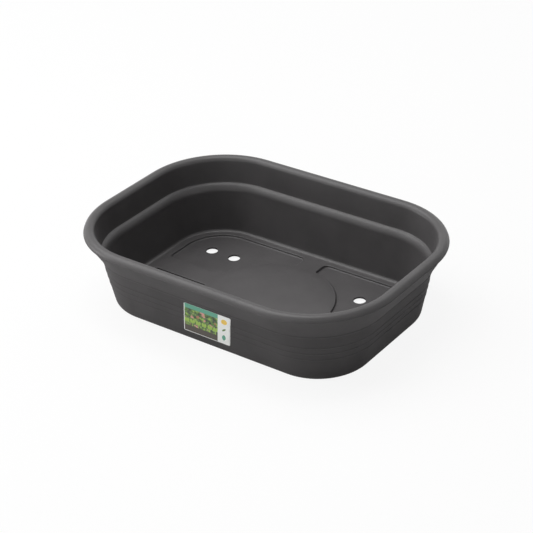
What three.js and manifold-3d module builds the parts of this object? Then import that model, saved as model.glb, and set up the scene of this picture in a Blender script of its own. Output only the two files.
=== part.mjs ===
// Plant growing tray: a deep moulded tray with a rolled rim, and a printed label stuck on its front.
// Millimetres, +Z up. +X runs along the tray's length, -Y is the side with the label, Z = 0 is the ground.
import * as THREE from 'three';
import { mergeVertices } from 'three/addons/utils/BufferGeometryUtils.js';
import Module from 'manifold-3d';

const wasm = await Module();
wasm.setup();

// Rim
const RIM_LENGTH = 370;
const RIM_WIDTH = 269;
const RIM_CORNER = 94;
const HEIGHT = 92.4;
const BEAD_RADIUS = 6.1;
const BEAD_LEAN = 10;
const LIP_DEPTH = 0.3;
const LIP_DROP = 0.3;
const LIP_HEIGHT = 0.8;

// Wall: it flares from the foot to the shoulder, and flares more from the shoulder to the rim
const WALL = 2.1;
const RIM_OVERHANG = 1.2;
const SHOULDER_HEIGHT = 59;
const SHOULDER_INSET_END = 16.2;
const SHOULDER_INSET_SIDE = 18.3;
const SHOULDER_CORNER = 76;
const FOOT_INSET_END = 13.2;
const FOOT_INSET_SIDE = 14.2;
const FOOT_CORNER = 57.5;
const FOOT_ROUND = 6.5;

// Ledge inside the wall, above the shoulder
const LEDGE_HEIGHT = 62.6;
const LEDGE_INSET_END = 16.2;
const LEDGE_INSET_SIDE = 16.8;
const LEDGE_CORNER = 77.5;
const LEDGE_WIDTH = 5.9;
const LEDGE_DROP = 8.6;

// Ribs round the outside: one on the shoulder and fine ones below it
const SHOULDER_RIB_HEIGHT = 3.2;
const SHOULDER_RIB_DEPTH = 0.8;
const FINE_RIB_COUNT = 3;
const FINE_RIB_DROP = 14.6;
const FINE_RIB_PITCH = 7.8;
const FINE_RIB_HEIGHT = 1.8;
const FINE_RIB_DEPTH = 0.45;

// Floor: a raised cross and disc between four sunk pockets with drain holes, above a ring to stand on
const STAND_HEIGHT = 2;
const STAND_WIDTH = 6;
const POCKET_DEPTH = 2.5;
const FLOOR_FILLET = 3.4;
const POCKET_BORDER_END = 6.5;
const POCKET_BORDER_SIDE = 5.5;
const POCKET_CORNER = 46;
const POCKET_ROUND = 4;
const ARM_WIDTH = 26.4;
const DISC_DIAMETER = 148;
const DISC_RISE = 0.4;
const HOLE_DIAMETER = 13.6;
const HOLE_PITCH = 31.2;
const HOLE_MARGIN_END = 30;
const HOLE_MARGIN_SIDE = 39.3;

// Label on the front wall, between the foot's round and the shoulder's rib
const LABEL_LENGTH = 60;
const LABEL_CENTRE = 6.2;
const LABEL_LEAN = 10.3;
const LABEL_THICKNESS = 0.4;
const LABEL_CORNER = 1.5;
const LABEL_MARGIN_TOP = 2;
const LABEL_MARGIN_FOOT = 7.5;
const LABEL_GAP = 0.3;

// How finely round stretches are cut into flats
const CORNER_STEPS = 12;
const ROUND_STEPS = 5;
const RIB_STEPS = 4;
const BEAD_STEPS = 10;
const CIRCLE_STEPS = 72;
const HOLE_STEPS = 28;
const CUT_EXTRA = 1;

// Heights that follow from the sizes above
const beadHeight = HEIGHT - BEAD_RADIUS;
const lipFoot = beadHeight - LIP_DROP;
const lipTop = lipFoot + LIP_HEIGHT;
const ledgeFoot = LEDGE_HEIGHT - LEDGE_DROP;
const pocketFloor = STAND_HEIGHT + WALL;
const floorHeight = pocketFloor + POCKET_DEPTH;
const recessHeight = floorHeight - WALL;

// A ring is a rounded rectangle in plan: half length, half width and corner radius.
const ring = (halfLength, halfWidth, corner) => ({ halfLength, halfWidth, corner });
const grow = (base, by) => ring(base.halfLength + by, base.halfWidth + by, base.corner + by);
const blend = (from, to, share) => ring(
  THREE.MathUtils.lerp(from.halfLength, to.halfLength, share),
  THREE.MathUtils.lerp(from.halfWidth, to.halfWidth, share),
  THREE.MathUtils.lerp(from.corner, to.corner, share),
);

const rimRing = ring(RIM_LENGTH / 2, RIM_WIDTH / 2, RIM_CORNER);
const beadRing = grow(rimRing, -LIP_DEPTH - BEAD_RADIUS);
const wallTopRing = grow(rimRing, -RIM_OVERHANG);
const shoulderRing = ring(
  rimRing.halfLength - SHOULDER_INSET_END,
  rimRing.halfWidth - SHOULDER_INSET_SIDE,
  SHOULDER_CORNER,
);
const footRing = ring(
  shoulderRing.halfLength - FOOT_INSET_END,
  shoulderRing.halfWidth - FOOT_INSET_SIDE,
  FOOT_CORNER,
);
const baseRing = grow(footRing, -FOOT_ROUND);

// The wall's outer face, without its ribs, at a height.
function outerRing(height) {
  if (height <= SHOULDER_HEIGHT) return blend(footRing, shoulderRing, height / SHOULDER_HEIGHT);
  const share = (height - SHOULDER_HEIGHT) / (lipFoot - SHOULDER_HEIGHT);
  return blend(shoulderRing, wallTopRing, share);
}

// The upper wall's inner face ends at the ledge. The lower wall's runs from the ledge's edge down to the floor.
const creaseRing = ring(
  rimRing.halfLength - LEDGE_INSET_END,
  rimRing.halfWidth - LEDGE_INSET_SIDE,
  LEDGE_CORNER,
);
const ledgeRing = grow(creaseRing, -LEDGE_WIDTH);
const floorWallRing = grow(outerRing(floorHeight), -WALL);
function innerRing(height) {
  const share = (height - floorHeight) / (ledgeFoot - floorHeight);
  return blend(floorWallRing, ledgeRing, share);
}
const floorRing = grow(floorWallRing, -FLOOR_FILLET);

// The four quarters of the plan, counter-clockwise from the back right.
const quarters = [[1, 1], [-1, 1], [-1, -1], [1, -1]];

// Points of a rounded rectangle, counter-clockwise from the +X side.
function ringPoints({ halfLength, halfWidth, corner }, height) {
  const points = [];
  quarters.forEach(([signX, signY], quarter) => {
    for (let step = 0; step <= CORNER_STEPS; step += 1) {
      const angle = (quarter + step / CORNER_STEPS) * Math.PI / 2;
      points.push(new THREE.Vector3(
        signX * (halfLength - corner) + corner * Math.cos(angle),
        signY * (halfWidth - corner) + corner * Math.sin(angle),
        height,
      ));
    }
  });
  return points;
}

// A rounded rib on the outer wall, a parabola in section, as levels from its lower edge to its upper edge.
function ribLevels(middle, ribHeight, depth) {
  const levels = [];
  for (let step = 0; step <= RIB_STEPS; step += 1) {
    const place = 2 * step / RIB_STEPS - 1;
    const height = middle + place * ribHeight / 2;
    levels.push([grow(outerRing(height), depth * (1 - place * place)), height]);
  }
  return levels;
}

// The tray's section as rings and heights, from the base up the outside, over the rim and down the inside.
function traySection() {
  const levels = [];
  for (let step = 0; step <= ROUND_STEPS; step += 1) {
    const angle = step / ROUND_STEPS * Math.PI / 2;
    const height = FOOT_ROUND * (1 - Math.cos(angle));
    levels.push([grow(outerRing(height), -FOOT_ROUND * (1 - Math.sin(angle))), height]);
  }
  for (let rib = FINE_RIB_COUNT - 1; rib >= 0; rib -= 1) {
    const middle = SHOULDER_HEIGHT - FINE_RIB_DROP - rib * FINE_RIB_PITCH;
    levels.push(...ribLevels(middle, FINE_RIB_HEIGHT, FINE_RIB_DEPTH));
  }
  levels.push(...ribLevels(SHOULDER_HEIGHT, SHOULDER_RIB_HEIGHT, SHOULDER_RIB_DEPTH));
  levels.push([wallTopRing, lipFoot]);
  levels.push([rimRing, lipFoot]);
  levels.push([rimRing, lipTop]);
  const beadStart = Math.asin((lipTop - beadHeight) / BEAD_RADIUS);
  const beadEnd = Math.PI - THREE.MathUtils.degToRad(BEAD_LEAN);
  for (let step = 0; step <= BEAD_STEPS; step += 1) {
    const angle = THREE.MathUtils.lerp(beadStart, beadEnd, step / BEAD_STEPS);
    const height = beadHeight + BEAD_RADIUS * Math.sin(angle);
    levels.push([grow(beadRing, BEAD_RADIUS * Math.cos(angle)), height]);
  }
  for (let step = 0; step <= ROUND_STEPS; step += 1) {
    const angle = step / ROUND_STEPS * Math.PI / 2;
    const height = ledgeFoot + LEDGE_DROP * Math.cos(angle);
    levels.push([grow(ledgeRing, LEDGE_WIDTH * (1 - Math.sin(angle))), height]);
  }
  for (let step = 0; step <= ROUND_STEPS; step += 1) {
    const angle = step / ROUND_STEPS * Math.PI / 2;
    const height = floorHeight + FLOOR_FILLET * (1 - Math.sin(angle));
    levels.push([grow(innerRing(height), -FLOOR_FILLET * (1 - Math.cos(angle))), height]);
  }
  return levels;
}

// A closed body through a run of rings, with flat ends.
function loftGeometry(levels) {
  const rows = levels.map(([outline, height]) => ringPoints(outline, height));
  const count = rows[0].length;
  const corners = rows.flat();
  const indices = [];
  for (let row = 0; row + 1 < rows.length; row += 1) {
    for (let column = 0; column < count; column += 1) {
      const here = row * count + column;
      const beside = row * count + (column + 1) % count;
      indices.push(here, beside, beside + count, here, beside + count, here + count);
    }
  }
  const lastRow = (rows.length - 1) * count;
  const firstCentre = corners.push(new THREE.Vector3(0, 0, levels[0][1])) - 1;
  const lastCentre = corners.push(new THREE.Vector3(0, 0, levels[levels.length - 1][1])) - 1;
  for (let column = 0; column < count; column += 1) {
    const beside = (column + 1) % count;
    indices.push(firstCentre, beside, column, lastCentre, lastRow + column, lastRow + beside);
  }
  const geometry = new THREE.BufferGeometry().setFromPoints(corners);
  geometry.setIndex(indices);
  return geometry;
}

// Upright solids for the cuts and joins, given by their heights.
function cylinderBetween(radius, low, high, steps) {
  const geometry = new THREE.CylinderGeometry(radius, radius, high - low, steps);
  return geometry.rotateX(Math.PI / 2).translate(0, 0, (low + high) / 2);
}

function boxBetween(lengthX, lengthY, low, high) {
  return new THREE.BoxGeometry(lengthX, lengthY, high - low).translate(0, 0, (low + high) / 2);
}

function extrudeBetween(shape, low, high) {
  const options = { depth: high - low, bevelEnabled: false, curveSegments: CORNER_STEPS };
  return new THREE.ExtrudeGeometry(shape, options).translate(0, 0, low);
}

// One pocket's outline before the disc is cut from it: the outer corner is wide, the others are eased.
function pocketShape(nearX, nearY, farX, farY) {
  const outer = Math.min(POCKET_CORNER, farX - nearX, farY - nearY);
  const shape = new THREE.Shape();
  shape.moveTo(nearX, nearY);
  shape.lineTo(farX - POCKET_ROUND, nearY);
  shape.absarc(farX - POCKET_ROUND, nearY + POCKET_ROUND, POCKET_ROUND, -Math.PI / 2, 0);
  shape.absarc(farX - outer, farY - outer, outer, 0, Math.PI / 2);
  shape.absarc(nearX + POCKET_ROUND, farY - POCKET_ROUND, POCKET_ROUND, Math.PI / 2, Math.PI);
  shape.closePath();
  return shape;
}

// A shape's outline in another quarter of the plan.
function inQuarter(shape, signX, signY) {
  const points = shape.getPoints(CORNER_STEPS);
  return new THREE.Shape(points.map(({ x, y }) => new THREE.Vector2(signX * x, signY * y)));
}

// Manifold joins and cuts, to and from three.js geometry.
function toSolid(geometry) {
  const bare = geometry.clone();
  bare.deleteAttribute('normal');
  bare.deleteAttribute('uv');
  const merged = mergeVertices(bare);
  return new wasm.Manifold(new wasm.Mesh({
    numProp: 3,
    vertProperties: new Float32Array(merged.attributes.position.array),
    triVerts: new Uint32Array(merged.index.array),
  }));
}

function toGeometry(solid) {
  const { vertProperties, triVerts } = solid.getMesh();
  const geometry = new THREE.BufferGeometry();
  geometry.setAttribute('position', new THREE.BufferAttribute(vertProperties, 3));
  geometry.setIndex(new THREE.BufferAttribute(triVerts, 1));
  return geometry;
}

function makeMesh(name, geometry, material) {
  const mesh = new THREE.Mesh(geometry, material);
  mesh.name = name;
  return mesh;
}

// The tray
function buildTray() {
  const discRadius = DISC_DIAMETER / 2;
  const pocketEnd = floorRing.halfLength - POCKET_BORDER_END;
  const pocketSide = floorRing.halfWidth - POCKET_BORDER_SIDE;
  const cutTop = floorHeight + DISC_RISE + CUT_EXTRA;

  const floorBlock = toSolid(loftGeometry([[floorRing, 0], [floorRing, cutTop]]));
  const disc = toSolid(cylinderBetween(discRadius, recessHeight, floorHeight + DISC_RISE, CIRCLE_STEPS));
  let body = toSolid(loftGeometry(traySection())).add(disc.intersect(floorBlock));

  // Each quarter has one pocket, with two drain holes in its floor.
  const outline = pocketShape(ARM_WIDTH / 2, ARM_WIDTH / 2, pocketEnd, pocketSide);
  const discCore = toSolid(cylinderBetween(discRadius, 0, cutTop + CUT_EXTRA, CIRCLE_STEPS));
  const holeY = pocketSide - HOLE_MARGIN_SIDE;
  const outerHoleX = pocketEnd - HOLE_MARGIN_END;
  quarters.forEach(([signX, signY]) => {
    const pocket = extrudeBetween(inQuarter(outline, signX, signY), pocketFloor, cutTop);
    body = body.subtract(toSolid(pocket).subtract(discCore));
    [outerHoleX, outerHoleX - HOLE_PITCH].forEach((holeX) => {
      const hole = cylinderBetween(HOLE_DIAMETER / 2, -CUT_EXTRA, cutTop, HOLE_STEPS);
      body = body.subtract(toSolid(hole.translate(signX * holeX, signY * holeY, 0)));
    });
  });

  // Inside the ring that the tray stands on, the floor is clear of the ground, most below the cross and the disc.
  const hollowArm = ARM_WIDTH - 2 * WALL;
  const insideStand = grow(baseRing, -STAND_WIDTH);
  const standBlock = toSolid(loftGeometry([[insideStand, -CUT_EXTRA], [insideStand, recessHeight]]));
  const clearance = toSolid(loftGeometry([[insideStand, -CUT_EXTRA], [insideStand, STAND_HEIGHT]]));
  const hollow = toSolid(cylinderBetween(discRadius - WALL, -CUT_EXTRA, recessHeight, CIRCLE_STEPS))
    .add(toSolid(boxBetween(RIM_LENGTH, hollowArm, -CUT_EXTRA, recessHeight)))
    .add(toSolid(boxBetween(hollowArm, RIM_WIDTH, -CUT_EXTRA, recessHeight)));
  body = body.subtract(hollow.intersect(standBlock)).subtract(clearance);

  const plastic = new THREE.MeshStandardMaterial({ color: 0x4a494a, roughness: 0.55, metalness: 0 });
  return makeMesh('tray', toGeometry(body), plastic);
}

// The label: a thin leaning plate with eased corners, clear of the fine ribs below it
function labelShape(height) {
  const half = LABEL_LENGTH / 2;
  const lean = LABEL_LEAN / 2;
  const corners = [[-half - lean, 0], [half - lean, 0], [half + lean, height], [-half + lean, height]]
    .map(([x, y]) => new THREE.Vector2(x, y));
  const shape = new THREE.Shape();
  corners.forEach((corner, index) => {
    const before = corners[(index + 3) % 4];
    const after = corners[(index + 1) % 4];
    const enter = before.clone().sub(corner).setLength(LABEL_CORNER).add(corner);
    const leave = after.clone().sub(corner).setLength(LABEL_CORNER).add(corner);
    if (index === 0) shape.moveTo(enter.x, enter.y);
    else shape.lineTo(enter.x, enter.y);
    shape.quadraticCurveTo(corner.x, corner.y, leave.x, leave.y);
  });
  shape.closePath();
  return shape;
}

function buildLabel() {
  const lowest = FOOT_ROUND + LABEL_MARGIN_FOOT;
  const highest = SHOULDER_HEIGHT - SHOULDER_RIB_HEIGHT / 2 - LABEL_MARGIN_TOP;
  const foot = new THREE.Vector3(LABEL_CENTRE, -outerRing(lowest).halfWidth, lowest);
  const head = new THREE.Vector3(LABEL_CENTRE, -outerRing(highest).halfWidth, highest);
  const up = head.clone().sub(foot);
  const geometry = new THREE.ExtrudeGeometry(labelShape(up.length()), {
    depth: LABEL_THICKNESS,
    bevelEnabled: false,
    curveSegments: ROUND_STEPS,
  });
  geometry.translate(0, 0, FINE_RIB_DEPTH + LABEL_GAP);
  const film = new THREE.MeshStandardMaterial({ color: 0xd8dfd2, roughness: 0.35, metalness: 0 });
  const mesh = makeMesh('label', geometry, film);
  mesh.position.copy(foot);
  mesh.rotation.x = Math.atan2(up.z, up.y);
  return mesh;
}

const tray = new THREE.Group();
tray.add(buildTray(), buildLabel());

export default tray;
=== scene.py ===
"""Looks of a plant growing tray: a dark grey moulding with a rolled rim, and a printed label on its front.

Metres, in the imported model's frame: +X along the length, -Y towards the label's side, +Z up from the
ground. Surfaces are worked out as whole numpy arrays: a profile carried along a path, or a function on
a grid.
"""

from __future__ import annotations

import logging
import math
from dataclasses import dataclass, field
from enum import Enum
from typing import Any, Sequence

import bmesh
import bpy
import numpy as np
from mathutils import Matrix, Vector
from mathutils.geometry import delaunay_2d_cdt


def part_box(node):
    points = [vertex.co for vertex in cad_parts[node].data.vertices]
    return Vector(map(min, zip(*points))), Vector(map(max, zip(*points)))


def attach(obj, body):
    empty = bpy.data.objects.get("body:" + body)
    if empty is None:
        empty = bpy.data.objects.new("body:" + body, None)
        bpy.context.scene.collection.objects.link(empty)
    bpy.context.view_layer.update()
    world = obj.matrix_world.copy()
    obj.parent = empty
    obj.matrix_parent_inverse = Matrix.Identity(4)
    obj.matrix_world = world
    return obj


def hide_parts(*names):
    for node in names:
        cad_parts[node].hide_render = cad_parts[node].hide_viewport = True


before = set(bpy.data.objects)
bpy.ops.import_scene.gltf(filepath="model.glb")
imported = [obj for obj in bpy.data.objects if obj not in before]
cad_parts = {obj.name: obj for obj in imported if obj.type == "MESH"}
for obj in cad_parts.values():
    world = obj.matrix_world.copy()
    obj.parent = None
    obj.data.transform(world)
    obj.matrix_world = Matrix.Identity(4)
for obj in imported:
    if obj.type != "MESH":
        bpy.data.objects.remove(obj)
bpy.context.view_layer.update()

LOG = logging.getLogger("growing_tray")
MM = 0.001
WELD = 1e-6
FILL_WELD = WELD / 10
INSIDE_WITH_HOLES = 2
QUARTER_TURN = math.pi / 2
MATT = "matt"

Pair = tuple[float, float]
Colour = tuple[float, float, float, float]
Socket = bpy.types.NodeSocket
RISING: Pair = (0.0, 1.0)
FALLING: Pair = (1.0, 0.0)

# A level of the tray is half length, half width, corner radius and height. Growing adds a multiple of
# SPREAD to it, and raising it adds one of UP.
SPREAD = np.array([1.0, 1.0, 1.0, 0.0])
UP = np.array([0.0, 0.0, 0.0, 1.0])


class Quarter(Enum):
    """The plan's four quarters, counter-clockwise, each as the signs of its x and y."""

    BACK_RIGHT = (1, 1)
    BACK_LEFT = (-1, 1)
    FRONT_LEFT = (-1, -1)
    FRONT_RIGHT = (1, -1)

    @property
    def flips(self) -> bool:
        """Whether a shape moved here from the back right is seen in a mirror."""
        return self.value[0] * self.value[1] < 0


class Ink(Enum):
    """Colours of the label's print, linear."""

    WHITE = (0.94, 0.95, 0.93, 1.0)
    TEAL = (0.085, 0.36, 0.24, 1.0)
    SHADE = (0.012, 0.022, 0.010, 1.0)
    LEAF = (0.090, 0.200, 0.030, 1.0)
    SPROUT = (0.330, 0.520, 0.070, 1.0)
    SOIL = (0.070, 0.034, 0.020, 1.0)
    CLAY = (0.420, 0.150, 0.085, 1.0)
    PETAL = (0.700, 0.300, 0.270, 1.0)
    SUN = (0.900, 0.600, 0.080, 1.0)


# Shapes in plan

def grown(rows: np.ndarray, by: float | np.ndarray) -> np.ndarray:
    """Levels moved outwards: half length, half width and corner grow together by the same distance.

    Args:
        rows: One level, or many, each of four numbers.
        by: The distance, or one for each level.

    Returns:
        The moved levels.
    """
    return rows + np.multiply.outer(np.asarray(by, float), SPREAD)


def straight(rings: np.ndarray, knots: Sequence[float], heights: float | np.ndarray) -> np.ndarray:
    """Levels on straight lines between rings of known heights.

    Args:
        rings: Half length, half width and corner of each known ring.
        knots: The known rings' heights, rising.
        heights: The height wanted, or many.

    Returns:
        One level for each height.
    """
    heights = np.atleast_1d(np.asarray(heights, float))
    columns = [np.interp(heights, knots, rings[:, column]) for column in range(3)]
    return np.stack([*columns, heights], axis=1)


def eased(start: np.ndarray, corner: np.ndarray, end: np.ndarray, steps: int) -> np.ndarray:
    """A corner rounded off: (1 - t) squared x start + 2t (1 - t) x corner + t squared x end.

    Args:
        start: Where the round leaves the first line.
        corner: Where the two lines would meet.
        end: Where the round joins the second line.
        steps: How many steps the round has.

    Returns:
        The round's points, from start to end.
    """
    t = np.linspace(0.0, 1.0, steps + 1)[:, None]
    return (1 - t) ** 2 * start + 2 * t * (1 - t) * corner + t ** 2 * end


def arc(centre: Sequence[float], radius: float, start: float, stop: float, steps: int) -> np.ndarray:
    """Points and outward normals of an arc: centre + radius x (cos, sin).

    An arc that turns clockwise is a hollow stretch of its outline, so its normals point to its centre.

    Args:
        centre: The arc's centre.
        radius: The arc's radius.
        start: The first angle.
        stop: The last angle, below the first for a clockwise arc.
        steps: How many steps the arc has.

    Returns:
        Rows of x, y and the normal's x, y.
    """
    angle = np.linspace(start, stop, steps + 1)
    ray = np.stack([np.cos(angle), np.sin(angle)], axis=1)
    side = math.copysign(1.0, stop - start)
    return np.hstack([np.asarray(centre, float) + radius * ray, side * ray])


def moved_to(arcs: Sequence[np.ndarray], quarter: Quarter) -> list[np.ndarray]:
    """Arcs of the back right quarter, mirrored into another and still counter-clockwise.

    Args:
        arcs: The arcs in order.
        quarter: Where they go.

    Returns:
        The mirrored arcs in order.
    """
    signs = np.array(quarter.value * 2, float)
    if quarter.flips:
        return [(run * signs)[::-1] for run in reversed(arcs)]
    return [run * signs for run in arcs]


@dataclass(frozen=True)
class Outline:
    """A closed outline in plan, counter-clockwise: its points and its outward normals."""

    points: np.ndarray
    normals: np.ndarray

    @classmethod
    def through(cls, arcs: Sequence[np.ndarray], step: float) -> Outline:
        """Joins arcs by straight lines, cut into steps, into one closed outline.

        Args:
            arcs: The arcs in order.
            step: About how long a step of a straight line is.

        Returns:
            The outline, with no point twice.
        """
        runs: list[np.ndarray] = []
        for here, after in zip(arcs, [*arcs[1:], arcs[0]]):
            gap = float(np.linalg.norm(after[0, :2] - here[-1, :2]))
            share = np.linspace(0.0, 1.0, max(int(gap / step), 1) + 1)[1:-1, None]
            runs += [here, here[-1] + share * (after[0] - here[-1])]
        rows = np.vstack(runs)
        apart = np.linalg.norm(np.roll(rows[:, :2], -1, axis=0) - rows[:, :2], axis=1) > WELD
        return cls(rows[apart, :2], rows[apart, 2:])

    @classmethod
    def circle(cls, centre: Sequence[float], radius: float, steps: int) -> Outline:
        """A circle of that many steps."""
        rows = arc(centre, radius, 0.0, 2 * math.pi, steps)[:-1]
        return cls(rows[:, :2], rows[:, 2:])

    def carry(self, profile: np.ndarray) -> np.ndarray:
        """Carries a profile along the outline: point + offset x normal, at the profile's height.

        Args:
            profile: Rows of outward offset and height.

        Returns:
            A grid of points, one row for each row of the profile.
        """
        plan = self.points + np.multiply.outer(profile[:, 0], self.normals)
        rise = np.broadcast_to(profile[:, 1, None, None], (*plan.shape[:2], 1))
        return np.concatenate([plan, rise], axis=2)


@dataclass(frozen=True)
class RingPath:
    """The walk round a rounded rectangle, counter-clockwise from the right side's back end."""

    corner_steps: int = 30
    length_steps: int = 26
    width_steps: int = 18

    def carry(self, rows: np.ndarray) -> np.ndarray:
        """Carries levels round the ring.

        A point is the corner's centre + radius x (cos, sin) of the turn. The centre's share of the ring
        slides from corner to corner along a straight side while the turn stands still.

        Args:
            rows: Levels of half length, half width, corner and height.

        Returns:
            A grid of points, one row for each level.
        """
        sides = [self.corner_steps, self.length_steps, self.corner_steps, self.width_steps] * 2
        knots = np.concatenate([[0], np.cumsum(sides)])
        place = np.arange(knots[-1])
        turn = QUARTER_TURN * np.interp(place, knots, [0, 1, 1, 2, 2, 3, 3, 4, 4])
        share_x = np.interp(place, knots, [1, 1, -1, -1, -1, -1, 1, 1, 1])
        share_y = np.interp(place, knots, [1, 1, 1, 1, -1, -1, -1, -1, 1])
        half_length, half_width, corner, height = (rows[:, column, None] for column in range(4))
        x = share_x * (half_length - corner) + corner * np.cos(turn)
        y = share_y * (half_width - corner) + corner * np.sin(turn)
        return np.stack([x, y, np.broadcast_to(height, x.shape)], axis=2)


def grid_faces(rows: int, columns: int, wrap: bool) -> np.ndarray:
    """Faces of a grid of points: each joins a point, the one beside it and the two of the next row.

    Args:
        rows: How many rows the grid has.
        columns: How many points a row has.
        wrap: Whether the last column joins the first.

    Returns:
        Rows of four indices.
    """
    here = np.arange(rows * columns).reshape(rows, columns)
    if wrap:
        beside = np.roll(here, -1, axis=1)
    else:
        here, beside = here[:, :-1], here[:, 1:]
    return np.stack([here[:-1], beside[:-1], beside[1:], here[1:]], axis=2).reshape(-1, 4)


class Shell:
    """Gathers the grids and flat fills of one closed piece, and welds them into one smooth mesh."""

    def __init__(self, name: str) -> None:
        """Starts an empty piece.

        Args:
            name: The piece's name.
        """
        self.name = name
        self.points: list[np.ndarray] = []
        self.matt: list[np.ndarray] = []
        self.faces: list[list[int]] = []
        self.count = 0

    def take(self, points: np.ndarray, faces: np.ndarray, matt: float | np.ndarray) -> None:
        """Adds points and the faces between them.

        Args:
            points: The new points.
            faces: Rows of indices into the new points.
            matt: How matt the finish is at the points, from 0 to 1.
        """
        self.faces += (faces + self.count).tolist()
        self.points.append(points)
        self.matt.append(np.broadcast_to(np.asarray(matt, np.float32), len(points)))
        self.count += len(points)

    def add_grid(self, grid: np.ndarray, wrap: bool = True, matt: float | np.ndarray = 0.0) -> None:
        """Adds a grid of points as quads.

        Args:
            grid: The points, rows by columns.
            wrap: Whether the last column joins the first.
            matt: How matt the finish is, for all the rows or for each.
        """
        rows, columns = grid.shape[:2]
        row_matt = np.broadcast_to(matt, rows)
        self.take(grid.reshape(-1, 3), grid_faces(rows, columns, wrap), np.repeat(row_matt, columns))

    def add_flat(
        self, height: float, outer: np.ndarray, holes: Sequence[np.ndarray] = (), matt: float = 0.0
    ) -> None:
        """Fills a level stretch between an outer loop and the loops of its holes.

        Args:
            height: The stretch's height.
            outer: The outer loop's points in plan.
            holes: The holes' loops.
            matt: How matt the finish is.
        """
        loops = [outer, *holes]
        starts = np.cumsum([0, *(len(loop) for loop in loops)])
        rings = [np.arange(start, stop).tolist() for start, stop in zip(starts, starts[1:])]
        plan = [Vector(point) for point in np.vstack(loops)]
        made = delaunay_2d_cdt(plan, [], rings, INSIDE_WITH_HOLES, FILL_WELD)
        level = np.array([(*point, height) for point in made[0]])
        self.take(level, np.array(made[2]), matt)

    def build(self) -> bpy.types.Object:
        """Welds what was gathered, points its faces outwards and makes the object.

        Returns:
            The piece's object, at the origin.

        Raises:
            RuntimeError: If the piece isn't closed.
        """
        mesh = bpy.data.meshes.new(self.name)
        mesh.from_pydata(np.vstack(self.points).tolist(), [], self.faces)
        mesh.attributes.new(MATT, "FLOAT", "POINT").data.foreach_set("value", np.concatenate(self.matt))
        work = bmesh.new()
        work.from_mesh(mesh)
        bmesh.ops.remove_doubles(work, verts=work.verts, dist=WELD)
        bmesh.ops.recalc_face_normals(work, faces=work.faces)
        loose = sum(not edge.is_manifold for edge in work.edges)
        work.to_mesh(mesh)
        work.free()
        if loose:
            raise RuntimeError(f"{self.name} has {loose} open edges")
        mesh.shade_smooth()
        piece = bpy.data.objects.new(self.name, mesh)
        bpy.context.scene.collection.objects.link(piece)
        return piece


# Finishes

@dataclass(frozen=True)
class Noise:
    """The scale and the detail of a cloudy noise."""

    scale: float
    detail: float


class Graph:
    """A node tree, built by calls that each add one node or a few and give back what they make."""

    def __init__(self, owner: bpy.types.Material | bpy.types.World) -> None:
        """Starts an empty tree.

        Args:
            owner: The material or the world that it belongs to.
        """
        owner.use_nodes = True
        self.owner = owner
        self.tree = owner.node_tree
        self.tree.nodes.clear()

    def add(self, kind: str, inputs: dict[str | int, Any] | None = None, **settings: Any) -> bpy.types.Node:
        """Adds a node.

        Args:
            kind: The node's type, without the prefix that all have.
            inputs: For each input, a value or another node's output.
            **settings: The node's own settings.

        Returns:
            The node.
        """
        node = self.tree.nodes.new(f"ShaderNode{kind}")
        for name, value in settings.items():
            setattr(node, name, value)
        for key, value in (inputs or {}).items():
            if isinstance(value, Socket):
                self.tree.links.new(value, node.inputs[key])
            else:
                node.inputs[key].default_value = value
        return node

    def math(self, operation: str, first: Any, second: Any = 0.0) -> Socket:
        """Adds one sum and gives its result."""
        return self.add("Math", {0: first, 1: second}, operation=operation).outputs[0]

    def mix(self, share: Any, low: Any, high: Any) -> Socket:
        """Adds a mix of two numbers, by its sockets' places because their names repeat."""
        return self.add("Mix", {0: share, 2: low, 3: high}).outputs[0]

    def between(self, share: Any, low: Any, high: Any) -> Socket:
        """Adds a mix of two colours, by its sockets' places because their names repeat."""
        return self.add("Mix", {0: share, 6: low, 7: high}, data_type="RGBA").outputs[2]

    def spread(self, value: Any, span: Pair, onto: Pair = RISING) -> Socket:
        """Adds a span of values mapped onto another, smoothly and clamped, and gives its result."""
        inputs = {0: value, 1: span[0], 2: span[1], 3: onto[0], 4: onto[1]}
        return self.add("MapRange", inputs, interpolation_type="SMOOTHSTEP").outputs[0]

    def noise(self, vector: Any, kind: Noise) -> Socket:
        """Adds a cloudy noise and gives its value."""
        inputs = {"Vector": vector, "Scale": kind.scale, "Detail": kind.detail}
        return self.add("TexNoise", inputs).outputs[0]

    def seen(self) -> Socket:
        """Adds a test of the ray: whether it shows what it meets, straight, mirrored or through glass.

        Returns:
            One for such a ray and nought for others.
        """
        ray = self.add("LightPath")
        seen = self.math("MAXIMUM", ray.outputs["Is Camera Ray"], ray.outputs["Is Glossy Ray"])
        return self.math("MAXIMUM", seen, ray.outputs["Is Transmission Ray"])

    def finish(self, shader: bpy.types.Node) -> bpy.types.Material:
        """Ends the material with that shader."""
        self.add("OutputMaterial", {"Surface": shader.outputs[0]})
        return self.owner


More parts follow.
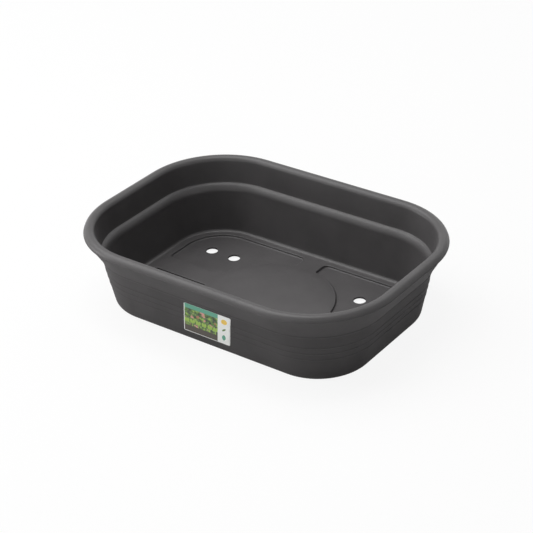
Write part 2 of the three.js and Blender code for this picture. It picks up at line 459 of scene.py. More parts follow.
@dataclass(frozen=True)
class MouldedPlastic:
    """Dark grey plastic with the fine grain of the mould, smooth or matt as the mesh's attribute says."""

    dark: Colour = (0.0768, 0.0735, 0.0747, 1.0)
    light: Colour = (0.0870, 0.0832, 0.0846, 1.0)
    cloud: Noise = Noise(28.0, 4.0)
    patch: Noise = Noise(160.0, 3.0)
    noise_span: Pair = (0.3, 0.7)
    smooth_roughness: Pair = (0.34, 0.42)
    matt_roughness: float = 0.75
    smooth_specular: float = 0.33
    matt_specular: float = 0.10
    wave: Noise = Noise(24.0, 1.0)
    wave_depth: float = 0.10 * MM
    grain: Noise = Noise(2400.0, 2.0)
    grain_depth: float = 0.012 * MM

    def material(self) -> bpy.types.Material:
        """The finish as a node material.

        Returns:
            The material, on Object coordinates.
        """
        graph = Graph(bpy.data.materials.new("moulded_plastic"))
        place = graph.add("TexCoord").outputs["Object"]
        cloud = graph.spread(graph.noise(place, self.cloud), self.noise_span)
        smooth = graph.spread(graph.noise(place, self.patch), self.noise_span, self.smooth_roughness)
        matt = graph.add("Attribute", attribute_name=MATT).outputs["Fac"]
        broad = graph.add("Bump", {
            "Height": graph.noise(place, self.wave),
            "Distance": self.wave_depth,
            "Strength": 1.0,
        })
        fine = graph.add("Bump", {
            "Height": graph.noise(place, self.grain),
            "Distance": self.grain_depth,
            "Strength": 1.0,
            "Normal": broad.outputs[0],
        })
        shader = graph.add("BsdfPrincipled", {
            "Base Color": graph.between(cloud, self.dark, self.light),
            "Roughness": graph.mix(matt, smooth, self.matt_roughness),
            "Specular IOR Level": graph.spread(matt, RISING, (self.smooth_specular, self.matt_specular)),
            "Normal": fine.outputs[0],
        })
        return graph.finish(shader)


@dataclass(frozen=True)
class PrintedFilm:
    """The label's film: seedlings before a hedge, a strip along the top and a white panel of three signs.

    Lengths are shares of the label's own length, apart from a seedling's widths, which are shares of its
    step in the row, and the signs' heights, which are shares of the label's height. A span is the stretch
    of a noise over which one ink gives way to another.
    """

    uv_map: str = "print"
    height: float = 0.71
    border: float = 0.014
    strip: float = 0.12
    panel: float = 0.27
    bed: float = 0.16
    leaves: Noise = Noise(13.0, 4.0)
    leaf_span: Pair = (0.36, 0.54)
    sprout_span: Pair = (0.54, 0.66)
    blooms: Noise = Noise(8.0, 2.0)
    petal_span: Pair = (0.58, 0.66)
    stalk_span: Pair = (0.30, 0.36)
    crumbs: Noise = Noise(60.0, 3.0)
    soil_span: Pair = (0.35, 0.65)
    seedlings: float = 8.0
    stem: float = 0.06
    leaf_middle: Pair = (0.21, 0.29)
    leaf_size: Pair = (0.21, 0.05)
    leaf_edge: Pair = (0.8, 1.1)
    sign_heights: tuple[float, float, float] = (0.22, 0.50, 0.78)
    sign_radius: float = 0.062
    sign_bow: float = 0.045
    blur: float = 0.008
    roughness: float = 0.36

    def material(self) -> bpy.types.Material:
        """The finish as a node material.

        Returns:
            The material, on the label's own UV map.
        """
        graph = Graph(bpy.data.materials.new("printed_film"))
        place = graph.add("UVMap", uv_map=self.uv_map).outputs[0]
        split = graph.add("SeparateXYZ", {0: place})
        across, up = split.outputs[0], split.outputs[1]
        colour = self.hedge(graph, place)
        colour = graph.between(self.above(graph, up, self.bed), self.soil(graph, place), colour)
        colour = graph.between(self.seedling(graph, across, up), colour, Ink.SPROUT.value)
        colour = graph.between(self.above(graph, up, self.height - self.strip), colour, Ink.TEAL.value)
        colour = graph.between(self.above(graph, across, 1 - self.panel), colour, Ink.WHITE.value)
        colour = self.signs(graph, place, colour)
        colour = graph.between(self.margin(graph, across, up), colour, Ink.WHITE.value)
        shader = graph.add("BsdfPrincipled", {"Base Color": colour, "Roughness": self.roughness})
        return graph.finish(shader)

    def blurred(self, edge: float) -> Pair:
        """The span over which an edge is blurred."""
        return edge - self.blur / 2, edge + self.blur / 2

    def above(self, graph: Graph, value: Socket, edge: float) -> Socket:
        """One beyond an edge and nought before it, a little blurred."""
        return graph.spread(value, self.blurred(edge))

    def within(self, graph: Graph, value: Socket, edge: float) -> Socket:
        """One before an edge and nought beyond it, a little blurred."""
        return graph.spread(value, self.blurred(edge), FALLING)

    def hedge(self, graph: Graph, place: Socket) -> Socket:
        """Blurred leaves, light and dark, with flowers and bare stalks among them.

        Args:
            graph: The material.
            place: The place on the label.

        Returns:
            The hedge's colour.
        """
        leaves = graph.noise(place, self.leaves)
        blooms = graph.noise(place, self.blooms)
        colour = graph.between(graph.spread(leaves, self.leaf_span), Ink.SHADE.value, Ink.LEAF.value)
        colour = graph.between(graph.spread(leaves, self.sprout_span), colour, Ink.SPROUT.value)
        colour = graph.between(graph.spread(blooms, self.petal_span), colour, Ink.PETAL.value)
        return graph.between(graph.spread(blooms, self.stalk_span, FALLING), colour, Ink.CLAY.value)

    def soil(self, graph: Graph, place: Socket) -> Socket:
        """The crumbs of the seed bed."""
        crumbs = graph.spread(graph.noise(place, self.crumbs), self.soil_span)
        return graph.between(crumbs, Ink.SHADE.value, Ink.SOIL.value)

    def seedling(self, graph: Graph, across: Socket, up: Socket) -> Socket:
        """A row of seedlings: in each step of the row, a stem and two oval leaves beside it.

        Args:
            graph: The material.
            across: The place along the label.
            up: The place up it.

        Returns:
            One on a seedling and nought elsewhere.
        """
        step = graph.math("FRACT", graph.math("MULTIPLY", across, self.seedlings))
        side = graph.math("ABSOLUTE", graph.math("SUBTRACT", step, 0.5))
        stem = graph.math("MULTIPLY", self.within(graph, side, self.stem), self.above(graph, up, self.bed))
        stem = graph.math("MULTIPLY", stem, self.within(graph, up, self.leaf_middle[1]))
        out = graph.math("DIVIDE", graph.math("SUBTRACT", side, self.leaf_middle[0]), self.leaf_size[0])
        rise = graph.math("DIVIDE", graph.math("SUBTRACT", up, self.leaf_middle[1]), self.leaf_size[1])
        square = graph.math("ADD", graph.math("POWER", out, 2.0), graph.math("POWER", rise, 2.0))
        return graph.math("MAXIMUM", stem, graph.spread(square, self.leaf_edge, FALLING))

    def disc(self, graph: Graph, place: Socket, middle: Pair, radius: float) -> Socket:
        """A round spot.

        Args:
            graph: The material.
            place: The place on the label.
            middle: The spot's centre.
            radius: The spot's radius.

        Returns:
            One inside the spot and nought outside it.
        """
        inputs = {0: place, 1: (*middle, 0.0)}
        away = graph.add("VectorMath", inputs, operation="DISTANCE").outputs["Value"]
        return self.within(graph, away, radius)

    def signs(self, graph: Graph, place: Socket, under: Socket) -> Socket:
        """A sun, a leaf and a water drop, one above the other on the white panel.

        The leaf and the drop are each the overlap of two circles, set off from its middle.

        Args:
            graph: The material.
            place: The place on the label.
            under: The colour that the signs lie on.

        Returns:
            The colour with the signs.
        """
        x, bow, wide = 1 - self.panel / 2, self.sign_bow, self.sign_radius + self.sign_bow / 2
        low, middle, high = (self.height * share for share in self.sign_heights)
        colour = graph.between(self.disc(graph, place, (x, high), self.sign_radius), under, Ink.SUN.value)
        for y, rise, ink in ((middle, bow, Ink.LEAF), (low, 0.0, Ink.TEAL)):
            first = self.disc(graph, place, (x - bow, y + rise), wide)
            second = self.disc(graph, place, (x + bow, y - rise), wide)
            colour = graph.between(graph.math("MULTIPLY", first, second), colour, ink.value)
        return colour

    def margin(self, graph: Graph, across: Socket, up: Socket) -> Socket:
        """The white border along the four edges.

        Args:
            graph: The material.
            across: The place along the label.
            up: The place up it.

        Returns:
            One in the border and nought inside it.
        """
        inner = self.above(graph, across, self.border)
        inner = graph.math("MULTIPLY", inner, self.above(graph, up, self.border))
        inner = graph.math("MULTIPLY", inner, self.within(graph, across, 1 - self.border))
        inner = graph.math("MULTIPLY", inner, self.within(graph, up, self.height - self.border))
        return graph.math("SUBTRACT", 1.0, inner)


# The pieces

@dataclass(frozen=True)
class Fineness:
    """How many levels, points or steps each curve of the tray is cut into."""

    foot: int = 11
    wall: int = 22
    rib: int = 17
    rim_edge: int = 5
    bead: int = 41
    upper_wall: int = 10
    crease: int = 4
    ledge: int = 17
    lower_wall: int = 14
    fillet: int = 10
    pocket_edge: int = 6
    pocket_foot: int = 7
    pocket_corner: int = 24
    small_corner: int = 8
    disc_arc: int = 36
    disc_circle: int = 160
    disc_slope: int = 13
    hole_circle: int = 48
    recess_corner: int = 5
    recess_fillet: int = 6
    under_edge: int = 4
    under_foot: int = 5


@dataclass
class Tray:
    """The moulding: foot, ribbed wall, rolled rim, ledge, and a floor with a cross, a disc and pockets."""

    high: Vector

    # Rim: a rolled bead, with a small lip round its lower edge
    rim_corner: float = 94 * MM
    bead_radius: float = 6.1 * MM
    bead_lean: float = math.radians(10)
    lip_depth: float = 0.3 * MM
    lip_drop: float = 0.3 * MM
    lip_height: float = 0.8 * MM
    lip_round: float = 0.3 * MM
    rim_overhang: float = 1.2 * MM
    under_rim_round: float = 0.7 * MM

    # Walls, foot and the ring that the tray stands on
    wall: float = 2.1 * MM
    shoulder_height: float = 59 * MM
    shoulder_inset: Pair = (16.2 * MM, 18.3 * MM)
    shoulder_corner: float = 76 * MM
    foot_inset: Pair = (13.2 * MM, 14.2 * MM)
    foot_corner: float = 57.5 * MM
    foot_round: float = 6.5 * MM
    stand_height: float = 2 * MM
    stand_width: float = 6 * MM

    # Ribs, each as its own height and its depth
    shoulder_rib: Pair = (3.2 * MM, 0.8 * MM)
    fine_rib: Pair = (2.2 * MM, 0.4 * MM)
    fine_rib_count: int = 3
    fine_rib_drop: float = 14.6 * MM
    fine_rib_pitch: float = 7.8 * MM

    # Ledge inside
    ledge_height: float = 62.6 * MM
    ledge_inset: Pair = (16.2 * MM, 16.8 * MM)
    ledge_corner: float = 77.5 * MM
    ledge_width: float = 6.5 * MM
    ledge_drop: float = 8.8 * MM
    ledge_power: float = 1.16
    ledge_sweep: Pair = (math.radians(10), math.radians(82))
    crease_share: float = 0.03

    # Floor with its cross, disc and pockets
    floor_fillet: float = 3.4 * MM
    pocket_depth: float = 2.5 * MM
    pocket_border: Pair = (6.5 * MM, 5.5 * MM)
    pocket_corner: float = 46 * MM
    pocket_round: float = 6.5 * MM
    pocket_draft: float = math.radians(4)
    pocket_edge: float = 0.9 * MM
    pocket_foot: float = 1.5 * MM
    arm_width: float = 26.4 * MM
    disc_radius: float = 74 * MM
    disc_fillet: float = 3 * MM
    disc_rise: float = 0.45 * MM
    disc_slope: float = 9 * MM

    # Drain holes, and the hollow under the cross and the disc
    hole_radius: float = 6.8 * MM
    hole_pitch: float = 31.2 * MM
    hole_margin: Pair = (30 * MM, 39.3 * MM)
    hole_edge: float = 0.2 * MM
    recess_round: float = 2 * MM

    # Mesh and finish
    rib_reach: float = 0.6
    row_gap: float = 20 * WELD
    support: float = 0.4 * MM
    line_step: float = 9 * MM
    lip_matt: float = 0.55
    bead_fade: int = 10
    steps: Fineness = field(default_factory=Fineness)
    path: RingPath = field(default_factory=RingPath)
    finish: MouldedPlastic = field(default_factory=MouldedPlastic)

    def __post_init__(self) -> None:
        """Works out the rings and heights that the sizes give."""
        self.rim = np.array([self.high.x, self.high.y, self.rim_corner, self.high.z])
        self.bead_height = self.high.z - self.bead_radius
        self.lip_foot = self.bead_height - self.lip_drop
        self.ledge_foot = self.ledge_height - self.ledge_drop
        self.pocket_floor = self.stand_height + self.wall
        self.floor_height = self.pocket_floor + self.pocket_depth
        self.recess_height = self.floor_height - self.wall
        shoulder = [*(self.rim[:2] - self.shoulder_inset), self.shoulder_corner]
        foot = [*(np.array(shoulder[:2]) - self.foot_inset), self.foot_corner]
        top = grown(self.rim, -self.rim_overhang)[:3]
        self.outer_rings = np.array([foot, shoulder, top])
        self.stand_ring = grown(np.array([*foot, 0.0]), -self.foot_round - self.stand_width)
        self.crease = np.array([*(self.rim[:2] - self.ledge_inset), self.ledge_corner, self.ledge_height])
        floor = grown(self.outer(self.floor_height), -self.wall)
        self.inner_rings = np.vstack([floor, grown(self.crease, -self.ledge_width)])[:, :3]
        self.pocket_end = grown(floor[0], -self.floor_fillet)[:2] - self.pocket_border

    def outer(self, height: float | np.ndarray) -> np.ndarray:
        """The outer wall without its ribs: straight from foot to shoulder, and from there to the rim."""
        knots = [0.0, self.shoulder_height, self.lip_foot]
        return straight(self.outer_rings, knots, height)

    def inner(self, height: float | np.ndarray) -> np.ndarray:
        """The lower wall's inner face: straight from the floor to the ledge's foot."""
        knots = [self.floor_height, self.ledge_foot]
        return straight(self.inner_rings, knots, height)

    def ribs(self) -> list[tuple[float, float, float]]:
        """The fine ribs, a pitch apart below the shoulder, and the shoulder's own.

        Returns:
            The ribs, from the lowest, each as the height of its middle, its own height and its depth.
        """
        first = self.shoulder_height - self.fine_rib_drop
        fine = [(first - rib * self.fine_rib_pitch, *self.fine_rib) for rib in range(self.fine_rib_count)]
        return [*reversed(fine), (self.shoulder_height, *self.shoulder_rib)]

    def rib_depth(self, height: np.ndarray) -> np.ndarray:
        """How far the ribs stand out: depth x cos squared, over each rib's height.

        Args:
            height: Heights on the outer wall.

        Returns:
            The ribs' depth at each height.
        """
        depth = np.zeros_like(height)
        for middle, tall, deep in self.ribs():
            place = np.clip((height - middle) / tall, -0.5, 0.5)
            depth += deep * np.cos(math.pi * place) ** 2
        return depth

    def outside_rows(self) -> np.ndarray:
        """Levels from the base, round the foot and up the ribbed wall to the underside of the rim.

        Returns:
            The levels, rising.
        """
        turn = np.linspace(0.0, QUARTER_TURN, self.steps.foot)
        rise = self.foot_round * (1 - np.cos(turn))
        foot = grown(self.outer(rise), self.foot_round * (np.sin(turn) - 1))
        heights = [np.linspace(self.foot_round, self.lip_foot - self.under_rim_round, self.steps.wall)]
        across = np.linspace(-self.rib_reach, self.rib_reach, self.steps.rib)
        heights += [middle + tall * across for middle, tall, _ in self.ribs()]
        height = np.unique(np.concatenate(heights))[1:]
        height = height[np.concatenate([[True], np.diff(height) > self.row_gap])]
        wall = grown(self.outer(height), self.rib_depth(height))
        return np.vstack([grown(foot[0], -self.support), foot, wall])

    def bead(self, turn: np.ndarray) -> np.ndarray:
        """Levels on the rim's bead: its middle + radius x (cos outwards, sin up) of the turn.

        Args:
            turn: The angles, from the outside over the top.

        Returns:
            One level for each angle.
        """
        middle = grown(np.array([*self.rim[:3], self.bead_height]), -self.lip_depth - self.bead_radius)
        rows = grown(middle, self.bead_radius * np.cos(turn))
        rows[:, 3] += self.bead_radius * np.sin(turn)
        return rows

    def rim_rows(self) -> np.ndarray:
        """Levels from the corner under the rim, round the lip, and over the bead to the upper wall.

        Returns:
            The levels in order.
        """
        steps = self.steps.rim_edge
        top = self.outer(self.lip_foot)[0]
        below = self.outer(self.lip_foot - self.under_rim_round)[0]
        under = eased(below, top, grown(top, self.under_rim_round), steps)[1:]
        edge = np.array([*self.rim[:3], self.lip_foot])
        crest = edge + self.lip_height * UP
        lip = eased(grown(edge, -self.lip_round), edge, edge + self.lip_round * UP, steps)
        over = eased(crest - self.lip_round * UP, crest, grown(crest, -self.lip_depth), steps)[:-1]
        first = math.asin((self.lip_height - self.lip_drop) / self.bead_radius)
        turn = np.linspace(first, math.pi - self.bead_lean, self.steps.bead)
        return np.vstack([under, lip, over, self.bead(turn)])

    def inside_rows(self) -> np.ndarray:
        """Levels from the bead down the upper wall, over the ledge and down to the floor's edge.

        The ledge is a flattened ellipse: its sine and cosine are raised to a power, and each is scaled to
        end at the lower wall. The floor meets the wall in a quarter of a circle.

        Returns:
            The levels, falling.
        """
        start = self.bead(np.array([math.pi - self.bead_lean]))[0]
        corner = self.crease
        edge = self.inner(self.ledge_foot)[0]
        share = np.linspace(0.0, 1.0, self.steps.upper_wall)[1:-1, None]
        upper = start + share * (corner - start)
        turn = np.linspace(*self.ledge_sweep, self.steps.ledge)
        inwards = np.sin(turn) ** self.ledge_power
        down = 1 - np.cos(turn) ** self.ledge_power
        ledge = grown(edge, self.ledge_width * (1 - inwards / inwards[-1]))
        ledge[:, 3] = self.ledge_height - self.ledge_drop * down / down[-1]
        near = corner + self.crease_share * (start - corner)
        crease = eased(near, corner, ledge[0], self.steps.crease)[:-1]
        fillet_top = self.floor_height + self.floor_fillet
        lower = self.inner(np.linspace(self.ledge_foot, fillet_top, self.steps.lower_wall)[1:-1])
        bend = np.linspace(0.0, QUARTER_TURN, self.steps.fillet)
        rise = self.floor_height + self.floor_fillet * (1 - np.sin(bend))
        fillet = grown(self.inner(rise), self.floor_fillet * (np.cos(bend) - 1))
        return np.vstack([upper, crease, ledge, lower, fillet, grown(fillet[-1], -self.support)])

    def fork(self, radius: float, arm: float) -> Pair:
        """The place of the fillet between a disc and an arm of the cross.

        Its centre is reach = radius + fillet away from the disc's centre, and side = arm + fillet away
        from the arm's middle line.

        Args:
            radius: The disc's radius.
            arm: Half the arm's width.

        Returns:
            The centre's distance along the arm, sqrt(reach squared - side squared), and its angle from the
            arm, asin(side / reach).
        """
        reach = radius + self.disc_fillet
        side = arm + self.disc_fillet
        return math.sqrt(reach ** 2 - side ** 2), math.asin(side / reach)

    def pocket_arcs(self) -> list[np.ndarray]:
        """Arcs of the back right pocket's edge: straight along two arms, hollow round the disc.

        Returns:
            The arcs, counter-clockwise from the corner between the disc and the long arm.
        """
        arm, ease, end = self.arm_width / 2, self.disc_fillet, self.pocket_end
        small, wide, steps = self.pocket_round, self.pocket_corner, self.steps
        away, tilt = self.fork(self.disc_radius, arm)
        return [
            arc((away, arm + ease), ease, math.pi + tilt, 3 * QUARTER_TURN, steps.small_corner),
            arc((end[0] - small, arm + small), small, -QUARTER_TURN, 0.0, steps.small_corner),
            arc(end - wide, wide, 0.0, QUARTER_TURN, steps.pocket_corner),
            arc((arm + small, end[1] - small), small, QUARTER_TURN, math.pi, steps.small_corner),
            arc((arm + ease, away), ease, math.pi, 3 * QUARTER_TURN - tilt, steps.small_corner),
            arc((0.0, 0.0), self.disc_radius, QUARTER_TURN - tilt, tilt, steps.disc_arc),
        ]

    def pocket_profile(self) -> np.ndarray:
        """A pocket's side: an eased edge, a wall with draft and a rounded foot.

        Returns:
            Rows of outward offset and height, falling.
        """
        slope = math.tan(self.pocket_draft)
        top = np.array([0.0, self.floor_height])
        foot = np.array([-self.pocket_depth * slope, self.pocket_floor])
        side = np.array([slope, 1.0])
        out = np.array([1.0, 0.0])
        brim, toe = self.pocket_edge, self.pocket_foot
        edge = eased(top + brim * out, top, top - brim * side, self.steps.pocket_edge)
        bend = eased(foot + toe * side, foot, foot - toe * out, self.steps.pocket_foot)
        return np.vstack([edge[0] + self.support * out, edge, bend, bend[-1] - self.support * out])

    def recess_outline(self) -> Outline:
        """The hollow's edge under the cross and the disc, one wall thickness inside their sides.

        Returns:
            The outline.
        """
        arm, ease, small = self.arm_width / 2 - self.wall, self.disc_fillet, self.recess_round
        end = self.stand_ring[:2] - self.wall
        radius, steps = self.disc_radius - self.wall, self.steps
        away, tilt = self.fork(radius, arm)
        arcs = [
            arc((end[0] - small, arm - small), small, 0.0, QUARTER_TURN, steps.recess_corner),
            arc((away, arm + ease), ease, -QUARTER_TURN, tilt - math.pi, steps.recess_fillet),
            arc((0.0, 0.0), radius, tilt, QUARTER_TURN - tilt, steps.disc_arc),
            arc((arm + ease, away), ease, -QUARTER_TURN - tilt, -math.pi, steps.recess_fillet),
            arc((arm - small, end[1] - small), small, 0.0, QUARTER_TURN, steps.recess_corner),
        ]
        around = [run for quarter in Quarter for run in moved_to(arcs, quarter)]
        return Outline.through(around, self.line_step)

    def recess_profile(self) -> np.ndarray:
        """The hollow's side, from the floor's underside up to its ceiling, eased at both ends.

        Returns:
            Rows of outward offset and height, rising.
        """
        out, up = np.eye(2)
        low, high = self.stand_height * up, self.recess_height * up
        brim, toe = self.hole_edge, self.pocket_edge
        edge = eased(low + brim * out, low, low + brim * up, self.steps.under_edge)
        foot = eased(high - toe * up, high, high - toe * out, self.steps.under_foot)
        return np.vstack([edge[0] + self.support / 2 * out, edge, foot, foot[-1] - self.support * out])

    def stand_rows(self) -> np.ndarray:
        """Levels up the inner side of the ring that the tray stands on, eased at both ends.

        Returns:
            The levels, rising.
        """
        low, high = self.stand_ring, self.stand_ring + self.stand_height * UP
        brim, toe = self.hole_edge, self.pocket_edge
        edge = eased(grown(low, brim), low, low + brim * UP, self.steps.under_edge)
        foot = eased(high - toe * UP, high, grown(high, -toe), self.steps.under_foot)
        return np.vstack([grown(edge[0], self.support), edge, foot, grown(foot[-1], -self.support)])

    def hole_profile(self) -> np.ndarray:
        """A drain hole's side, from the pocket's floor down to its underside, eased at both ends.

        Returns:
            Rows of outward offset and height, falling.
        """
        out, up = np.eye(2)
        high, low = self.pocket_floor * up, self.stand_height * up
        brim, steps = self.hole_edge, self.steps.under_edge
        top = eased(high + brim * out, high, high - brim * up, steps)
        foot = eased(low + brim * up, low, low + brim * out, steps)
        return np.vstack([top[0] + self.support * out, top, foot, foot[-1] + self.support * out])

    def disc_profile(self) -> np.ndarray:
        """The disc's edge, which climbs to its flat top along a parabola.

        Returns:
            Rows of outward offset and height, rising inwards.
        """
        share = np.linspace(0.0, 1.0, self.steps.disc_slope)
        climb = self.disc_rise * (1 - (1 - share) ** 2)
        return np.stack([-self.disc_slope * share, self.floor_height + climb], axis=1)

    def build(self) -> bpy.types.Object:
        """Builds the moulding as one closed mesh.

        The outer wall and the underside are matt. The finish grows smoother over the lip and up the bead,
        and it is smooth inside.

        Returns:
            The tray's object.
        """
        shell = Shell("growing_tray")
        outside, rim = self.outside_rows(), self.rim_rows()
        loft = self.path.carry(np.vstack([outside, rim, self.inside_rows()]))
        bead_start = len(outside) + len(rim) - self.steps.bead
        fade = [len(outside) - 1, bead_start, bead_start + self.bead_fade]
        matt = np.interp(np.arange(len(loft)), fade, [1.0, self.lip_matt, 0.0])
        shell.add_grid(loft, matt=matt)

        disc_edge = self.disc_radius - self.pocket_edge - 2 * self.support
        disc = Outline.circle((0.0, 0.0), disc_edge, self.steps.disc_circle).carry(self.disc_profile())
        shell.add_grid(disc)
        shell.add_flat(self.floor_height + self.disc_rise, disc[-1, :, :2])

        floor_holes, under_holes = [disc[0, :, :2]], []
        for quarter in Quarter:
            edge, holes = self.add_pocket(shell, quarter)
            floor_holes.append(edge)
            under_holes += holes
        shell.add_flat(self.floor_height, loft[-1, :, :2], floor_holes)

        recess = self.recess_outline().carry(self.recess_profile())
        shell.add_grid(recess, matt=1.0)
        shell.add_flat(self.recess_height, recess[-1, :, :2], matt=1.0)
        stand = self.path.carry(self.stand_rows())
        shell.add_grid(stand, matt=1.0)
        shell.add_grid(np.stack([stand[0], loft[0]]), matt=1.0)
        shell.add_flat(self.stand_height, stand[-1, :, :2], [recess[0, :, :2], *under_holes], matt=1.0)
        return self.dress(shell.build())

    def add_pocket(self, shell: Shell, quarter: Quarter) -> tuple[np.ndarray, list[np.ndarray]]:
        """Adds one pocket with its two drain holes.

        Args:
            shell: The mesh that it joins.
            quarter: The quarter that it lies in.

        Returns:
            The pocket's loop on the floor, and the holes' loops on its underside.
        """
        outline = Outline.through(moved_to(self.pocket_arcs(), quarter), self.line_step)
        side = outline.carry(self.pocket_profile())
        shell.add_grid(side)
        far = self.pocket_end - self.hole_margin
        holes = []
        for along in (far[0], far[0] - self.hole_pitch):
            centre = np.array([along, far[1]]) * quarter.value
            circle = Outline.circle(centre, self.hole_radius, self.steps.hole_circle)
            hole = circle.carry(self.hole_profile())
            # The first row lies on the smooth floor, and all below it is matt.
            shell.add_grid(hole, matt=np.minimum(np.arange(len(hole)), 1.0))
            holes.append(hole)
        shell.add_flat(self.pocket_floor, side[-1, :, :2], [hole[0, :, :2] for hole in holes])
        return side[0, :, :2], [hole[-1, :, :2] for hole in holes]

    def dress(self, piece: bpy.types.Object) -> bpy.types.Object:
        """Gives the moulding its finish, and puts it in the place of its solid.

        Args:
            piece: The moulding.

        Returns:
            The same piece.
        """
        piece.data.materials.append(self.finish.material())
        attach(piece, "root")
        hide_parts("tray")
        return piece


@dataclass
class Label:
    """The printed film on the front wall: it lies over the ribs, and its ends lean."""

    tray: Tray
    low: Vector
    high: Vector
    lean: float = 10.3 * MM
    corner: float = 1.5 * MM
    lift: float = 0.12 * MM
    thickness: float = 0.14 * MM
    columns: int = 40
    rows: int = 60
    corner_rows: int = 9
    finish: PrintedFilm = field(default_factory=PrintedFilm)

    def __post_init__(self) -> None:
        """Works out the film's length along the wall, its height and its middle."""
        self.length = self.high.x - self.low.x - self.lean
        self.tall = self.high.z - self.low.z
        self.middle = (self.low.x + self.high.x) / 2

    def grid(self) -> np.ndarray:
        """The film's outer face on a grid of u along the wall and v up it.

        Both run from -1/2 to 1/2, and the height runs from the foot to the head with v. x is the middle
        + u x length + v x lean, drawn in near the corners by
        radius - sqrt(radius squared - distance squared). y follows the wall with its ribs.

        Returns:
            The points, rows by columns.
        """
        ends = 1 - np.cos(np.linspace(0.0, QUARTER_TURN, self.corner_rows))
        climb = np.unique(np.concatenate([
            ends * self.corner,
            np.linspace(self.corner, self.tall - self.corner, self.rows),
            self.tall - ends * self.corner,
        ]))
        inset = np.maximum(self.corner - np.minimum(climb, self.tall - climb), 0.0)
        drawn = self.corner - np.sqrt(np.maximum(self.corner ** 2 - inset ** 2, 0.0))
        u = np.linspace(-0.5, 0.5, self.columns + 1)
        v = climb / self.tall - 0.5
        x = self.middle + np.multiply.outer(self.length - 2 * drawn, u) + v[:, None] * self.lean
        height = self.low.z + climb
        y = -(self.tray.outer(height)[:, 1] + self.tray.rib_depth(height) + self.lift + self.thickness)
        return np.stack(np.broadcast_arrays(x, y[:, None], height[:, None]), axis=2)

    def lay_print(self, mesh: bpy.types.Mesh) -> None:
        """Writes the print's UV map: across and up from the lower left, in shares of the label's length.

        Args:
            mesh: The label's mesh.
        """
        spots = np.empty(3 * len(mesh.vertices))
        mesh.vertices.foreach_get("co", spots)
        x, _, height = spots.reshape(-1, 3).T
        climb = height - self.low.z
        across = (x - self.middle - (climb / self.tall - 0.5) * self.lean) / self.length + 0.5
        corners = np.empty(len(mesh.loops), dtype=np.int32)
        mesh.loops.foreach_get("vertex_index", corners)
        places = np.stack([across, climb / self.length], axis=1)[corners]
        mesh.uv_layers.new(name=self.finish.uv_map).uv.foreach_set("vector", places.ravel())

    def build(self) -> bpy.types.Object:
        """Builds the film as one closed thin mesh.

        Returns:
            The label's object.
        """
        front = self.grid()
        back = front + np.array([0.0, self.thickness, 0.0])
        shell = Shell("wall_label")
        shell.add_grid(front, wrap=False)
        shell.add_grid(back[:, ::-1], wrap=False)
        for side in (np.s_[0], np.s_[-1], np.s_[:, 0], np.s_[:, -1]):
            shell.add_grid(np.stack([front[side], back[side]]), wrap=False)
        return self.dress(shell.build())

    def dress(self, piece: bpy.types.Object) -> bpy.types.Object:
        """Gives the film its print and finish, and puts it in the place of its solid.

        Args:
            piece: The film.

        Returns:
            The same piece.
        """
        self.lay_print(piece.data)
        piece.data.materials.append(self.finish.material())
        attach(piece, "root")
        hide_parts("label")
        return piece


# The studio

@dataclass(frozen=True)
class Lamp:
    """A square soft box that faces the tray: its place, its side and its power in watts."""

    name: str
    place: tuple[float, float, float]
    size: float
    power: float

    def build(self) -> None:
        """Makes the lamp, turned to the frame's origin."""
        light = bpy.data.lights.new(self.name, "AREA")
        light.size = self.size
        light.energy = self.power
        holder = bpy.data.objects.new(self.name, light)
        holder.location = self.place
        holder.rotation_euler = Vector(self.place).to_track_quat("Z", "Y").to_euler()
        bpy.context.scene.collection.objects.link(holder)


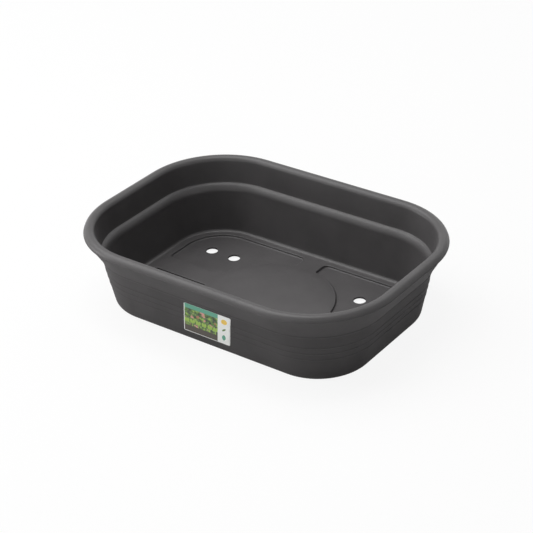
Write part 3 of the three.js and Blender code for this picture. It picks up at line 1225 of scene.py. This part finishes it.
@dataclass
class Studio:
    """The pale floor, the soft lamps and the camera."""

    azimuth: float = math.radians(37.0442)
    elevation: float = math.radians(30.3525)
    roll: float = math.radians(-2.2544)
    distance: float = 1.75775
    aim: Pair = (-0.53 * MM, 39.36 * MM)
    lens: float = 110.585
    sensor: float = 36.0
    floor_size: float = 16.0
    floor_lines: int = 9
    floor_bounce: Colour = (0.85, 0.85, 0.85, 1.0)
    floor_seen: Colour = (0.95, 0.95, 0.95, 1.0)
    floor_glow: float = 0.9
    sky: Colour = (1.0, 1.0, 1.0, 1.0)
    lamps: tuple[Lamp, ...] = (
        Lamp("overhead", (0.0, 0.0, 3.0), 1.0, 18.0),
        Lamp("high_left", (-1.2, -0.35, 2.0), 2.1, 46.0),
        Lamp("front_left", (-1.2, -1.2, 0.75), 0.8, 2.6),
        Lamp("high_back", (0.1, 1.4, 1.8), 1.6, 8.6),
        Lamp("low_front", (0.3, -1.6, 0.25), 0.8, 3.7),
        Lamp("low_left", (-1.5, -0.75, 0.14), 0.24, 6.6),
        Lamp("low_right", (1.7, -0.5, 0.4), 0.8, 1.9),
    )

    def build(self) -> None:
        """Makes the floor, the light and the camera."""
        self.make_floor()
        self.make_sky()
        for lamp in self.lamps:
            lamp.build()
        self.make_camera()
        bpy.context.scene.view_settings.view_transform = "Standard"

    def make_floor(self) -> None:
        """A level floor on a grid, which the camera sees nearly white and which keeps the shadow."""
        side = np.linspace(-0.5, 0.5, self.floor_lines) * self.floor_size
        x, y = np.meshgrid(side, side)
        points = np.stack([x, y, np.zeros_like(x)], axis=2)
        mesh = bpy.data.meshes.new("floor")
        mesh.from_pydata(points.reshape(-1, 3).tolist(), [], grid_faces(*x.shape, wrap=False).tolist())
        floor = bpy.data.objects.new("floor", mesh)
        bpy.context.scene.collection.objects.link(floor)
        floor.data.materials.append(self.floor_material())

    def floor_material(self) -> bpy.types.Material:
        """The floor's finish: nearly white where it is seen, and a plain grey where it throws light back.

        Returns:
            The material, even all over.
        """
        graph = Graph(bpy.data.materials.new("studio_floor"))
        bounce = graph.add("BsdfDiffuse", {"Color": self.floor_bounce}).outputs[0]
        pale = graph.add("BsdfDiffuse", {"Color": self.floor_seen}).outputs[0]
        glow = graph.add("Emission", {"Strength": 1.0}).outputs[0]
        shown = graph.add("MixShader", {0: self.floor_glow, 1: pale, 2: glow}).outputs[0]
        return graph.finish(graph.add("MixShader", {0: graph.seen(), 1: bounce, 2: shown}))

    def make_sky(self) -> None:
        """An even sky that is white where it is seen or mirrored, and gives no other light."""
        world = bpy.data.worlds.new("studio_sky")
        bpy.context.scene.world = world
        graph = Graph(world)
        sky = graph.add("Background", {"Color": self.sky, "Strength": graph.seen()})
        graph.add("OutputWorld", {"Surface": sky.outputs[0]})

    def make_camera(self) -> None:
        """The camera at the photograph's angle: back along azimuth and elevation, turned by the roll."""
        level = math.cos(self.elevation)
        back = Vector((
            math.sin(self.azimuth) * level,
            -math.cos(self.azimuth) * level,
            math.sin(self.elevation),
        ))
        right = Vector((math.cos(self.azimuth), math.sin(self.azimuth), 0.0))
        up = back.cross(right)
        across = right * math.cos(self.roll) + up * math.sin(self.roll)
        above = up * math.cos(self.roll) - right * math.sin(self.roll)
        camera = bpy.data.cameras.new("camera")
        camera.lens = self.lens
        camera.sensor_width = self.sensor
        holder = bpy.data.objects.new("camera", camera)
        place = across * self.aim[0] + above * self.aim[1] + back * self.distance
        turn = Matrix((across, above, back)).transposed()
        holder.matrix_world = Matrix.Translation(place) @ turn.to_4x4()
        bpy.context.scene.collection.objects.link(holder)
        bpy.context.scene.camera = holder


def report(piece: bpy.types.Object) -> None:
    """Logs a piece's name and how many faces it has."""
    LOG.info("%s: %d faces", piece.name, len(piece.data.polygons))


def main() -> None:
    """Builds the tray, its label and the studio."""
    logging.basicConfig(level=logging.INFO, format="%(name)s %(message)s")
    _, tray_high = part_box("tray")
    tray = Tray(tray_high)
    report(tray.build())
    report(Label(tray, *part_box("label")).build())
    Studio().build()


if __name__ == "__main__":
    main()
